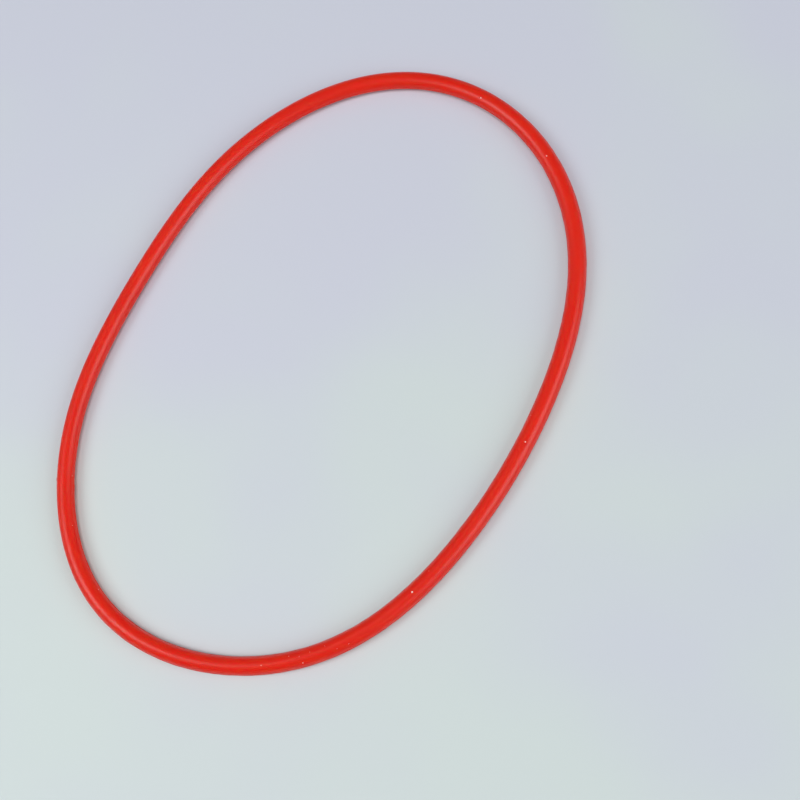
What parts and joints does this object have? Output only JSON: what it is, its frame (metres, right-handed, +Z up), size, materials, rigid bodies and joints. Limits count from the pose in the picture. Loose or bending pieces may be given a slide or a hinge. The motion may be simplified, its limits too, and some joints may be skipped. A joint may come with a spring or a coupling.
{
  "type": "silicone o-ring",
  "caption": "Soft red silicone O-ring with a round section, lying slightly oval, that seals a groove between two round parts.",
  "frame": {"origin": "on the surface the ring lies on, under the middle of its outline's bounding box", "axes": "+X along the ring's long way across as it lies, +Y across it towards the flatter long side, +Z up out of the surface"},
  "size_m": [0.1332, 0.0916, 0.0035],
  "materials": {
    "silicone": "satin"
  },
  "bodies": {
    "root": {"o_ring": "silicone"}
  },
  "joints": []
}
